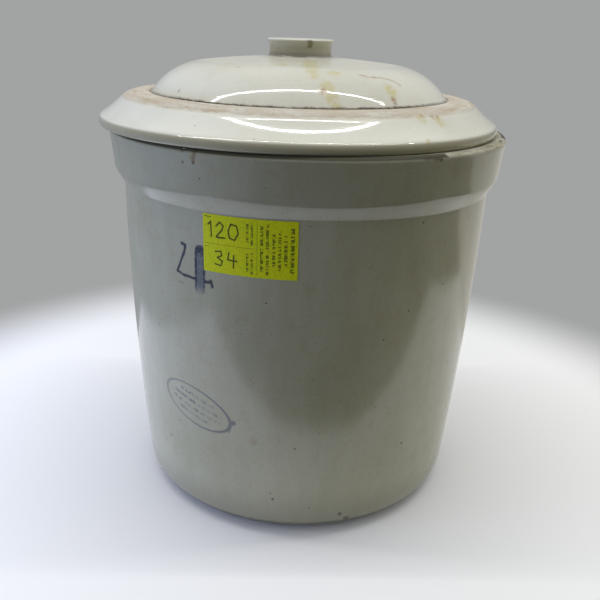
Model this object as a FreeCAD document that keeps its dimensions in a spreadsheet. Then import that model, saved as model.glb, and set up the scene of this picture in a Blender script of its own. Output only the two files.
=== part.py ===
import FreeCAD, Part

import math
import os

import Sketcher

# Glazed stoneware crock with a loose domed lid, in millimetres, +Z up.
# The origin is the centre of the flat underside that the crock stands on.
# The front of the crock faces -Y.

# Driving sizes. Lengths are in millimetres and angles in degrees. An angle
# round the crock is counted from the front (-Y) towards +X.
SIZES = {
    # Crock: a bowed, slightly tapering wall under a standing rim band
    "crock_height": 296.0,
    "foot_radius": 131.4,
    "foot_edge_radius": 22.0,
    "wall_top_radius": 145.6,
    "wall_bow_radius": 2140.0,
    "wall_thickness": 11.0,
    "floor_thickness": 14.0,
    "floor_corner_radius": 14.0,
    "rim_height": 41.4,
    "rim_slope_height": 11.0,
    "rim_lower_overhang": 6.6,
    "rim_upper_overhang": 9.6,
    "rim_lower_rounding": 9.5,
    "rim_crease_rounding": 2.5,
    "rim_outer_rounding": 3.5,
    "rim_inner_rounding": 3.0,
    # Lid: an overhanging lip, a hollow shoulder, a flat band, then the dome
    "lid_inset": 1.4,
    "lip_height": 6.8,
    "lip_lower_rounding": 3.0,
    "lip_upper_rounding": 5.3,
    "shoulder_width": 20.6,
    "shoulder_rise": 17.4,
    "shoulder_hollow_radius": 87.0,
    "shoulder_rounding": 18.3,
    "band_width": 19.0,
    "dome_rise": 27.4,
    "dome_lean": 15.1,
    "crown_radius": 650.0,
    "dome_rounding": 52.7,
    "dome_wall": 9.0,
    "dome_inner_rounding": 38.0,
    "dome_groove_depth": 1.4,
    "dome_groove_width": 1.6,
    # Ring under the lid that drops into the mouth and keeps the lid on
    "ring_depth": 14.0,
    "ring_wall": 9.0,
    "ring_rounding": 2.0,
    "ring_inner_rise": 5.0,
    "lid_play": 7.5,
    "ring_clearance": 1.0,
    # Knob on the crown of the dome
    "knob_height": 12.8,
    "knob_radius": 27.2,
    "knob_overhang": 3.0,
    "knob_lip_height": 4.5,
    "knob_edge_rounding": 1.5,
    "knob_foot_rounding": 2.5,
    "knob_dish_depth": 1.6,
    "knob_rim_width": 5.4,
    # Paper label stuck on the wall, just under the rim
    "label_width": 64.8,
    "label_height": 39.4,
    "label_thickness": 0.25,
    "glue_thickness": 0.05,
    "label_drop": 0.9,
    "label_angle": -13.9,
    # Chips knocked off the top outer edge of the rim. Each has an angle round
    # the rim, and reaches this far along the rim, down, and into the clay from
    # a centre that lies just inside the rim's outer face.
    "chip_inset": 1.0,
    "chip_1_angle": 31.0,
    "chip_1_along": 10.0,
    "chip_1_down": 2.6,
    "chip_1_deep": 2.2,
    "chip_2_angle": 43.0,
    "chip_2_along": 16.0,
    "chip_2_down": 3.4,
    "chip_2_deep": 3.0,
    "chip_3_angle": 55.5,
    "chip_3_along": 13.0,
    "chip_3_down": 4.0,
    "chip_3_deep": 3.6,
    "chip_4_angle": 66.5,
    "chip_4_along": 9.0,
    "chip_4_down": 6.5,
    "chip_4_deep": 5.0,
}

CHIP_COUNT = 4

# A rounding never takes more than this share of the wall or face beside it
ROUNDING_SHARE = 0.45
DOME_SHARE = 0.9


def add_sheet(document):
    """Put every driving size into a spreadsheet, each under its own alias."""
    sheet = document.addObject("Spreadsheet::Sheet", "Sizes")
    for row, (name, value) in enumerate(SIZES.items(), start=1):
        sheet.set(f"A{row}", name)
        sheet.set(f"B{row}", str(value))
        sheet.setAlias(f"B{row}", name)
    document.recompute()
    return sheet


def origin_plane(body, role):
    """Find one of a body's own origin planes by its role."""
    for feature in body.Origin.OriginFeatures:
        if feature.Role == role:
            return feature
    raise ValueError(f"{body.Name} has no {role}")


def add_body(document, name):
    """Start a sub-part."""
    body = document.addObject("PartDesign::Body", name)
    body.Label = name
    return body


def arc_between(start, end, radius, centre_left):
    """Arc from start to end, with its centre left or right of that way."""
    chord = end - start
    middle = (start + end) * 0.5
    reach = math.sqrt(radius * radius - chord.Length ** 2 / 4)
    left = FreeCAD.Vector(-chord.y, chord.x, 0).normalize()
    centre = middle + left * (reach if centre_left else -reach)
    circle = Part.Circle(centre, FreeCAD.Vector(0, 0, 1), radius)
    first, last = (start, end) if centre_left else (end, start)
    return Part.ArcOfCircle(circle, circle.parameter(first), circle.parameter(last))


def tie_distance(sketch, kind, axis, edge, corner, value, expression):
    """Hold a corner on an axis, or at a distance from the origin."""
    if expression == "0":
        rule = Sketcher.Constraint("PointOnObject", edge, corner, axis)
        sketch.addConstraint(rule)
        return
    rule = Sketcher.Constraint(kind, -1, 1, edge, corner, value)
    number = sketch.addConstraint(rule)
    sketch.setExpression(f"Constraints[{number}]", expression)


def draw_outline(body, name, corners):
    """Draw a closed half section on the XZ plane, tied to the sheet.

    Each corner is (distance from the axis, height, bow). The first two are
    expressions, and bow is None for a straight line to the next corner or
    (radius expression, centre is on the left) for an arc.
    """
    sketch = body.newObject("Sketcher::SketchObject", name)
    sketch.AttachmentSupport = [(origin_plane(body, "XZ_Plane"), "")]
    sketch.MapMode = "FlatFace"
    points = []
    for across, height, _ in corners:
        x = float(sketch.evalExpression(across))
        y = float(sketch.evalExpression(height))
        points.append(FreeCAD.Vector(x, y, 0))

    ends = []
    for index, (_, _, bow) in enumerate(corners):
        start = points[index]
        end = points[(index + 1) % len(points)]
        if bow is None:
            edge = sketch.addGeometry(Part.LineSegment(start, end), False)
            ends.append((edge, 1, 2))
        else:
            radius = float(sketch.evalExpression(bow[0]))
            arc = arc_between(start, end, radius, bow[1])
            edge = sketch.addGeometry(arc, False)
            ends.append((edge, 1, 2) if bow[1] else (edge, 2, 1))

    for index, (edge, start_end, _) in enumerate(ends):
        before, _, before_end = ends[index - 1]
        joint = Sketcher.Constraint("Coincident", before, before_end, edge, start_end)
        sketch.addConstraint(joint)

    for index, (across, height, bow) in enumerate(corners):
        edge, corner, _ = ends[index]
        tie_distance(sketch, "DistanceX", -2, edge, corner, points[index].x, across)
        tie_distance(sketch, "DistanceY", -1, edge, corner, points[index].y, height)
        if bow is not None:
            radius = float(sketch.evalExpression(bow[0]))
            rule = Sketcher.Constraint("Radius", edge, radius)
            number = sketch.addConstraint(rule)
            sketch.setExpression(f"Constraints[{number}]", bow[0])
    return sketch


def turn(body, name, sketch, kind="PartDesign::Revolution"):
    """Turn a half section round the vertical axis, as on a potter's wheel."""
    feature = body.newObject(kind, name)
    feature.Profile = sketch
    feature.ReferenceAxis = (sketch, ["V_Axis"])
    feature.Angle = 360.0
    body.Document.recompute()
    return feature


def within(radius, wall):
    """A rounding's expression, limited by the wall or face beside it."""
    return f"min({radius}; {ROUNDING_SHARE} * {wall})"


def round_edge(body, name, across, height, radius):
    """Round the circular edge at this distance from the axis and height."""
    base = body.Tip
    want_radius = float(base.evalExpression(across))
    want_height = float(base.evalExpression(height))
    best_edge = None
    best_miss = None
    for number, edge in enumerate(base.Shape.Edges, start=1):
        if edge.Degenerated or not isinstance(edge.Curve, Part.Circle):
            continue
        miss = abs(edge.Curve.Radius - want_radius)
        miss += abs(edge.Curve.Center.z - want_height)
        if best_miss is None or miss < best_miss:
            best_edge = f"Edge{number}"
            best_miss = miss
    fillet = body.newObject("PartDesign::Fillet", name)
    fillet.Base = (base, [best_edge])
    fillet.Radius = float(base.evalExpression(radius))
    fillet.setExpression("Radius", radius)
    body.Document.recompute()
    return fillet


CREASE_HEIGHT = "(Sizes.crock_height - Sizes.rim_height)"
RIM_LOWER_HEIGHT = f"({CREASE_HEIGHT} + Sizes.rim_slope_height)"
RIM_LOWER_RADIUS = "(Sizes.wall_top_radius + Sizes.rim_lower_overhang)"
RIM_RADIUS = "(Sizes.wall_top_radius + Sizes.rim_upper_overhang)"
RIM_WIDTH = "(Sizes.rim_upper_overhang + Sizes.wall_thickness)"
MOUTH_RADIUS = "(Sizes.wall_top_radius - Sizes.wall_thickness)"
FLOOR_RADIUS = "(Sizes.foot_radius - Sizes.wall_thickness)"


def make_crock(document):
    """The pot: one thrown piece with a standing rim and an open mouth."""
    body = add_body(document, "crock_body")
    outer_bow = ("Sizes.wall_bow_radius", True)
    inner_bow = ("Sizes.wall_bow_radius", False)
    section = draw_outline(body, "crock_section", [
        ("0", "0", None),
        ("Sizes.foot_radius", "0", outer_bow),
        ("Sizes.wall_top_radius", CREASE_HEIGHT, None),
        (RIM_LOWER_RADIUS, RIM_LOWER_HEIGHT, None),
        (RIM_RADIUS, "Sizes.crock_height", None),
        (MOUTH_RADIUS, "Sizes.crock_height", inner_bow),
        (FLOOR_RADIUS, "Sizes.floor_thickness", None),
        ("0", "Sizes.floor_thickness", None),
    ])
    turn(body, "crock_turned", section)
    round_edge(body, "foot_edge", "Sizes.foot_radius", "0", "Sizes.foot_edge_radius")
    round_edge(body, "rim_lower_edge", RIM_LOWER_RADIUS, RIM_LOWER_HEIGHT,
               "Sizes.rim_lower_rounding")
    round_edge(body, "rim_crease", "Sizes.wall_top_radius", CREASE_HEIGHT,
               "Sizes.rim_crease_rounding")
    round_edge(body, "rim_outer_edge", RIM_RADIUS, "Sizes.crock_height",
               within("Sizes.rim_outer_rounding", RIM_WIDTH))
    round_edge(body, "rim_inner_edge", MOUTH_RADIUS, "Sizes.crock_height",
               within("Sizes.rim_inner_rounding", RIM_WIDTH))
    round_edge(body, "floor_corner", FLOOR_RADIUS, "Sizes.floor_thickness",
               "Sizes.floor_corner_radius")
    for number in range(1, CHIP_COUNT + 1):
        knock_chip(body, number)
    return body


def knock_chip(body, number):
    """Scoop a shallow chip out of the rim's top outer edge."""
    size = f"Sizes.chip_{number}"
    chip = body.newObject("PartDesign::SubtractiveEllipsoid", f"rim_chip_{number}")
    chip.setExpression("Radius1", f"{size}_down")
    chip.setExpression("Radius2", f"{size}_deep")
    chip.setExpression("Radius3", f"{size}_along")
    chip.Angle1 = -90.0
    chip.Angle2 = 90.0
    chip.Angle3 = 360.0
    angle = f"({size}_angle * 1 deg)"
    reach = f"({RIM_RADIUS} - Sizes.chip_inset)"
    chip.setExpression(".Placement.Rotation.Angle", f"{angle} - 90 deg")
    chip.setExpression(".Placement.Base.x", f"{reach} * sin({angle})")
    chip.setExpression(".Placement.Base.y", f"-{reach} * cos({angle})")
    chip.setExpression(".Placement.Base.z", "Sizes.crock_height")
    body.Document.recompute()


LID_RADIUS = f"({RIM_RADIUS} - Sizes.lid_inset)"
RING_RADIUS = f"({MOUTH_RADIUS} - Sizes.lid_play)"
RING_INNER_RADIUS = f"({RING_RADIUS} - Sizes.ring_wall)"
SEAT_HEIGHT = "Sizes.ring_depth"
LIP_TOP = f"({SEAT_HEIGHT} + Sizes.lip_height)"
BAND_TOP = f"({LIP_TOP} + Sizes.shoulder_rise)"
BAND_OUTER_RADIUS = f"({LID_RADIUS} - Sizes.shoulder_width)"
SHOULDER_SLOPE = "atan(Sizes.shoulder_rise / Sizes.shoulder_width)"
SHOULDER_CHORD = "sqrt(Sizes.shoulder_rise ^ 2 + Sizes.shoulder_width ^ 2)"
SHOULDER_BEND = f"asin({SHOULDER_CHORD} / 2 / Sizes.shoulder_hollow_radius)"
DOME_RADIUS = f"({BAND_OUTER_RADIUS} - Sizes.band_width)"
DOME_SHOULDER_RADIUS = f"({DOME_RADIUS} - Sizes.dome_lean)"
DOME_INNER_RADIUS = f"({DOME_RADIUS} - Sizes.dome_wall)"
INNER_SHOULDER_RADIUS = f"({DOME_SHOULDER_RADIUS} - Sizes.dome_wall / 2)"
CROWN_TOP = f"({BAND_TOP} + Sizes.dome_rise)"
KNOB_TOP = f"({CROWN_TOP} + Sizes.knob_height)"
KNOB_NECK_RADIUS = "(Sizes.knob_radius - Sizes.knob_overhang)"
KNOB_DISH_RADIUS = "(Sizes.knob_radius - Sizes.knob_rim_width)"


def crown_height(radius, top):
    """Height of the crown's curve at a distance from the axis."""
    drop = f"(Sizes.crown_radius - sqrt(Sizes.crown_radius ^ 2 - {radius} ^ 2))"
    return f"({top} - {drop})"


def round_dome(body, name, shoulder, foot, rounding):
    """Round the dome's shoulder, as far as its leaning side leaves room.

    The shoulder and the foot are each (distance from the axis, height).
    """
    lean = f"({foot[0]} - {shoulder[0]})"
    rise = f"({shoulder[1]} - {foot[1]})"
    side = f"sqrt({lean} ^ 2 + {rise} ^ 2)"
    half_turn = f"((atan({rise} / {lean}) - asin({shoulder[0]} / Sizes.crown_radius)) / 2)"
    room = f"({DOME_SHARE} * {side} / tan({half_turn}))"
    round_edge(body, name, shoulder[0], shoulder[1], f"min({rounding}; {room})")


def make_lid(document):
    """The lid: lip, shoulder, band, dome and knob, fired as one piece.

    It is drawn from the bottom of its locating ring, and stands where the
    ring has slid across the mouth until it all but meets the wall.
    """
    body = add_body(document, "lid")
    inner_top = f"({CROWN_TOP} - Sizes.dome_wall)"
    dome_foot = (DOME_RADIUS, BAND_TOP)
    dome_shoulder = (DOME_SHOULDER_RADIUS, crown_height(DOME_SHOULDER_RADIUS, CROWN_TOP))
    inner_foot = (DOME_INNER_RADIUS, f"({BAND_TOP} - Sizes.dome_wall)")
    inner_shoulder = (INNER_SHOULDER_RADIUS, crown_height(INNER_SHOULDER_RADIUS, inner_top))
    ring_rise = f"({SEAT_HEIGHT} + Sizes.ring_inner_rise)"
    section = draw_outline(body, "lid_section", [
        (RING_INNER_RADIUS, "0", None),
        (RING_RADIUS, "0", None),
        (RING_RADIUS, SEAT_HEIGHT, None),
        (LID_RADIUS, SEAT_HEIGHT, None),
        (LID_RADIUS, LIP_TOP, ("Sizes.shoulder_hollow_radius", False)),
        (BAND_OUTER_RADIUS, BAND_TOP, None),
        (*dome_foot, None),
        (*dome_shoulder, ("Sizes.crown_radius", True)),
        ("0", CROWN_TOP, None),
        ("0", inner_top, ("Sizes.crown_radius", False)),
        (*inner_shoulder, None),
        (*inner_foot, None),
        (RING_INNER_RADIUS, ring_rise, None),
    ])
    turn(body, "lid_turned", section)
    round_dome(body, "dome_edge", dome_shoulder, dome_foot, "Sizes.dome_rounding")
    round_dome(body, "dome_inner_edge", inner_shoulder, inner_foot,
               "Sizes.dome_inner_rounding")
    band_turn = f"({SHOULDER_SLOPE} + {SHOULDER_BEND})"
    round_edge(body, "shoulder_edge", BAND_OUTER_RADIUS, BAND_TOP,
               within("Sizes.shoulder_rounding", f"Sizes.band_width / tan({band_turn} / 2)"))
    lip_turn = f"(90 deg - {SHOULDER_SLOPE} + {SHOULDER_BEND})"
    round_edge(body, "lip_upper_edge", LID_RADIUS, LIP_TOP,
               within("Sizes.lip_upper_rounding", f"Sizes.lip_height / tan({lip_turn} / 2)"))
    round_edge(body, "lip_lower_edge", LID_RADIUS, SEAT_HEIGHT,
               within("Sizes.lip_lower_rounding", "Sizes.lip_height"))
    ring_rounding = within("Sizes.ring_rounding", "Sizes.ring_wall")
    round_edge(body, "ring_outer_edge", RING_RADIUS, "0", ring_rounding)
    round_edge(body, "ring_inner_edge", RING_INNER_RADIUS, "0", ring_rounding)
    cut_dome_groove(body)
    add_knob(body)
    body.setExpression(".Placement.Base.x", "Sizes.ring_clearance - Sizes.lid_play")
    body.setExpression(".Placement.Base.z", f"Sizes.crock_height - {SEAT_HEIGHT}")
    return body


def cut_dome_groove(body):
    """Turn the narrow groove that runs round the foot of the dome."""
    bottom = f"({BAND_TOP} - Sizes.dome_groove_depth)"
    above = f"({BAND_TOP} + Sizes.dome_groove_depth)"
    outer = f"({DOME_RADIUS} + Sizes.dome_groove_width)"
    section = draw_outline(body, "dome_groove_section", [
        (DOME_RADIUS, bottom, None),
        (outer, BAND_TOP, None),
        (outer, above, None),
        (DOME_RADIUS, above, None),
    ])
    turn(body, "dome_groove", section, "PartDesign::Groove")


def add_knob(body):
    """Raise the knob from the crown: a short neck under a spreading lip."""
    lip_under = f"({KNOB_TOP} - Sizes.knob_lip_height)"
    sunk = f"({CROWN_TOP} - Sizes.dome_wall / 2)"
    section = draw_outline(body, "knob_section", [
        ("0", sunk, None),
        (KNOB_NECK_RADIUS, sunk, None),
        (KNOB_NECK_RADIUS, lip_under, None),
        ("Sizes.knob_radius", KNOB_TOP, None),
        (KNOB_DISH_RADIUS, KNOB_TOP, None),
        ("0", f"({KNOB_TOP} - Sizes.knob_dish_depth)", None),
    ])
    turn(body, "knob", section)
    foot = crown_height(KNOB_NECK_RADIUS, CROWN_TOP)
    round_edge(body, "knob_foot", KNOB_NECK_RADIUS, foot,
               within("Sizes.knob_foot_rounding", f"({lip_under} - {foot})"))
    round_edge(body, "knob_edge", "Sizes.knob_radius", KNOB_TOP,
               within("Sizes.knob_edge_rounding", "Sizes.knob_rim_width"))


def make_label(document):
    """The paper label: a thin sheet that follows the wall's curve."""
    sleeve = document.addObject("PartDesign::Body", "label_sleeve")
    near = "Sizes.glue_thickness"
    far = "(Sizes.glue_thickness + Sizes.label_thickness)"
    outer_bow = ("Sizes.wall_bow_radius", True)
    inner_bow = ("Sizes.wall_bow_radius", False)
    section = draw_outline(sleeve, "label_section", [
        (f"(Sizes.foot_radius + {far})", "0", outer_bow),
        (f"(Sizes.wall_top_radius + {far})", CREASE_HEIGHT, None),
        (f"(Sizes.wall_top_radius + {near})", CREASE_HEIGHT, inner_bow),
        (f"(Sizes.foot_radius + {near})", "0", None),
    ])
    turn(sleeve, "label_turned", section)

    outline = document.addObject("Part::Box", "label_outline")
    reach = f"({RIM_RADIUS} + Sizes.label_width)"
    outline.setExpression("Length", "Sizes.label_width")
    outline.setExpression("Width", reach)
    outline.setExpression("Height", "Sizes.label_height")
    angle = "(Sizes.label_angle * 1 deg)"
    half = "(Sizes.label_width / 2)"
    outline.setExpression(".Placement.Rotation.Angle", angle)
    outline.setExpression(".Placement.Base.x",
                          f"{reach} * sin({angle}) - {half} * cos({angle})")
    outline.setExpression(".Placement.Base.y",
                          f"-{reach} * cos({angle}) - {half} * sin({angle})")
    outline.setExpression(".Placement.Base.z",
                          f"{CREASE_HEIGHT} - Sizes.label_drop - Sizes.label_height")

    label = document.addObject("Part::Common", "paper_label")
    label.Label = "paper_label"
    label.Base = sleeve
    label.Tool = outline
    return label


def check_objects(document):
    """Stop on any feature that failed, which recompute does not report."""
    for item in document.Objects:
        if "Invalid" in item.State or "Error" in item.State:
            raise RuntimeError(f"{item.Name} failed: {item.State}")


def export_parts(parts):
    """Check each finished sub-part, then write its solid to its own file."""
    for part in parts:
        shape = part.Shape
        if shape.isNull() or not shape.isValid():
            raise RuntimeError(f"{part.Label} has no valid shape")
    os.makedirs("parts", exist_ok=True)
    for part in parts:
        part.Shape.exportStep(os.path.join("parts", f"{part.Label}.step"))
        litres = part.Shape.Volume / 1e6
        print(f"{part.Label}: {len(part.Shape.Solids)} solid, {litres:.3f} litres of material")


def main():
    """Build the crock, its lid and its label, and write one file for each."""
    document = FreeCAD.newDocument("Crock")
    add_sheet(document)
    parts = [make_crock(document), make_lid(document), make_label(document)]
    document.recompute()
    check_objects(document)
    export_parts(parts)


main()
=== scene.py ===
"""Dresses a glazed stoneware crock, its loose domed lid and its paper label.

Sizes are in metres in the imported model's frame: +Z is up, -Y is the front of
the crock, and the origin is the middle of its flat underside. An angle round
the crock is in degrees, counted from the front towards +X.
"""

import logging
import math
from contextlib import contextmanager
from dataclasses import dataclass, field
from enum import Enum
from typing import Callable, Iterator, Optional, Sequence, Union

import bpy
from mathutils import Matrix, Vector


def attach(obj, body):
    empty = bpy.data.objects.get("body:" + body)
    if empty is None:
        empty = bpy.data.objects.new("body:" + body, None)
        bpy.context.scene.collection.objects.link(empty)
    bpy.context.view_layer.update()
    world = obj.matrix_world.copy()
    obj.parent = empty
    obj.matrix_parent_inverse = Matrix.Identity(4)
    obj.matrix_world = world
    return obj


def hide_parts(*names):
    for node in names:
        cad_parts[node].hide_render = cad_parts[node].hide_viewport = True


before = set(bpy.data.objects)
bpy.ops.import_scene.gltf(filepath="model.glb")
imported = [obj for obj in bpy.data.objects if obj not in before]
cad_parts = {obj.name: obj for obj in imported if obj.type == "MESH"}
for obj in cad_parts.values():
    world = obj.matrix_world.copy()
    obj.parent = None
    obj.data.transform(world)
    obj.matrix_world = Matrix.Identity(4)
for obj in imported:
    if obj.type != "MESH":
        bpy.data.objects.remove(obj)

logging.basicConfig(level=logging.INFO, format="%(message)s")
log = logging.getLogger("crock")

MM = 0.001
PHOTO_SIDE = 600

Piece = bpy.types.Object
Material = bpy.types.Material
Socket = bpy.types.NodeSocket
Signal = Union[Socket, float]
Colour = tuple[float, float, float, float]
Corner = tuple[float, float, float]
Point = tuple[float, float]
Corners = tuple[Corner, ...]
Points = tuple[Point, ...]


class Body(Enum):
    """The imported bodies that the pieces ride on."""

    CROCK = "crock"
    LID = "lid"


class Slot(Enum):
    """The record's material slots."""

    CROCK = "crock_glaze"
    LID = "lid_glaze"
    LABEL = "label_paper"


def tone(red: float, green: float, blue: float) -> Colour:
    """Turn a screen colour into the linear colour that a shader takes.

    Args:
        red: Red from 0 to 255.
        green: Green from 0 to 255.
        blue: Blue from 0 to 255.

    Returns:
        The linear colour, fully opaque.
    """
    shares = [part / 255 for part in (red, green, blue)]
    linear = [share / 12.92 if share <= 0.04045 else ((share + 0.055) / 1.055) ** 2.4
              for share in shares]
    return (linear[0], linear[1], linear[2], 1.0)


class Graph:
    """A tree of shader nodes, built up a step at a time."""

    def __init__(self, tree: bpy.types.NodeTree) -> None:
        """Start to work in a tree."""
        self.tree = tree
        self.coordinates = self.add("TexCoord").outputs
        self.place = self.coordinates["Object"]

    def feed(self, socket: Socket, value: object) -> None:
        """Link a signal to a socket, or write a plain value on it.

        Args:
            socket: The input to feed.
            value: A socket to link, or a number, vector or colour.
        """
        if isinstance(value, Socket):
            self.tree.links.new(value, socket)
        else:
            socket.default_value = value

    def add(self, kind: str, inputs: Optional[dict[Union[int, str], object]] = None,
            **settings: object) -> bpy.types.Node:
        """Add a shader node.

        Args:
            kind: Which node, in its type's own words.
            inputs: What its inputs are fed with.
            settings: Its other settings.

        Returns:
            The node.
        """
        node = self.tree.nodes.new(f"ShaderNode{kind}")
        for name, value in settings.items():
            setattr(node, name, value)
        for key, value in (inputs or {}).items():
            self.feed(node.inputs[key], value)
        return node

    def calc(self, operation: str, first: Signal, second: Signal = 0.0,
             clamp: bool = False) -> Socket:
        """Work out one number from two, in the Math node's words."""
        return self.add("Math", {0: first, 1: second}, operation=operation,
                        use_clamp=clamp).outputs[0]

    def vector(self, operation: str, first: object, second: object = (0.0, 0.0, 0.0)) -> Socket:
        """Work out one vector, or one number from vectors.

        Args:
            operation: The sum to do, in the Vector Math node's words.
            first: The first vector.
            second: The second vector, or the factor to scale by.

        Returns:
            The answer: a number for a length, distance or dot product.
        """
        key = "Scale" if operation == "SCALE" else 1
        node = self.add("VectorMath", {0: first, key: second}, operation=operation)
        number = operation in ("LENGTH", "DISTANCE", "DOT_PRODUCT")
        return node.outputs["Value" if number else "Vector"]

    def join(self, across: Signal, up: Signal, deep: Signal = 0.0) -> Socket:
        """Make a vector from its X, Y and Z."""
        return self.add("CombineXYZ", {0: across, 1: up, 2: deep}).outputs[0]

    def split(self, vector: Socket) -> tuple[Socket, Socket, Socket]:
        """Take a vector apart into its X, Y and Z."""
        return tuple(self.add("SeparateXYZ", {0: vector}).outputs)

    def blend(self, share: Signal, first: object, second: object) -> Socket:
        """Mix two colours, by how much of the second one shows."""
        return self.add("Mix", {0: share, 6: first, 7: second}, data_type="RGBA").outputs[2]

    def mix(self, share: Signal, first: Socket, second: Socket) -> Socket:
        """Mix two shaders, by how much of the second one shows."""
        return self.add("MixShader", {0: share, 1: first, 2: second}).outputs[0]

    def choose(self, seen: Socket, bounced: Socket) -> Socket:
        """Show one shader to the eye and another to everything lit or mirrored."""
        return self.mix(self.add("LightPath").outputs["Is Camera Ray"], bounced, seen)

    def most(self, *signals: Signal) -> Socket:
        """Take the largest of several numbers."""
        return self.chain("MAXIMUM", signals)

    def product(self, *signals: Signal) -> Socket:
        """Multiply several numbers."""
        return self.chain("MULTIPLY", signals)

    def total(self, *signals: Signal) -> Socket:
        """Add several numbers."""
        return self.chain("ADD", signals)

    def chain(self, operation: str, signals: Sequence[Signal]) -> Socket:
        """Work through several numbers in turn.

        Args:
            operation: The sum to do with each of them.
            signals: The numbers.

        Returns:
            The answer.
        """
        answer = signals[0]
        for signal in signals[1:]:
            answer = self.calc(operation, answer, signal)
        return answer

    def flip(self, share: Signal) -> Socket:
        """Turn a share round, so that 0 is 1 and 1 is 0."""
        return self.calc("SUBTRACT", 1.0, share)

    def range(self, value: Signal, low: float, high: float) -> Socket:
        """Stretch a share from 0 to 1 over another range."""
        return self.total(self.product(value, high - low), low)

    def ease(self, value: Signal, none: float, full: float) -> Socket:
        """Rise smoothly from 0 to 1 between two values.

        Args:
            value: The signal to read.
            none: Where the answer is 0.
            full: Where the answer is 1, above or below that.

        Returns:
            The share from 0 to 1.
        """
        rising = none < full
        inputs = {"Value": value, "From Min": min(none, full), "From Max": max(none, full),
                  "To Min": float(not rising), "To Max": float(rising)}
        return self.add("MapRange", inputs, interpolation_type="SMOOTHSTEP").outputs[0]

    def between(self, value: Signal, low: float, high: float, soft: float) -> Socket:
        """Be 1 between two values and 0 outside them, with soft edges."""
        return self.product(self.ease(value, low - soft, low + soft),
                            self.ease(value, high + soft, high - soft))

    def step(self, value: Signal, edge: Point) -> Socket:
        """Ease over an edge that is given in millimetres."""
        return self.ease(value, edge[0] * MM, edge[1] * MM)

    def within(self, value: Signal, belt: Corner) -> Socket:
        """Be 1 inside a belt: its two edges and their softness, in millimetres."""
        return self.between(value, *[edge * MM for edge in belt])


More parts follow.
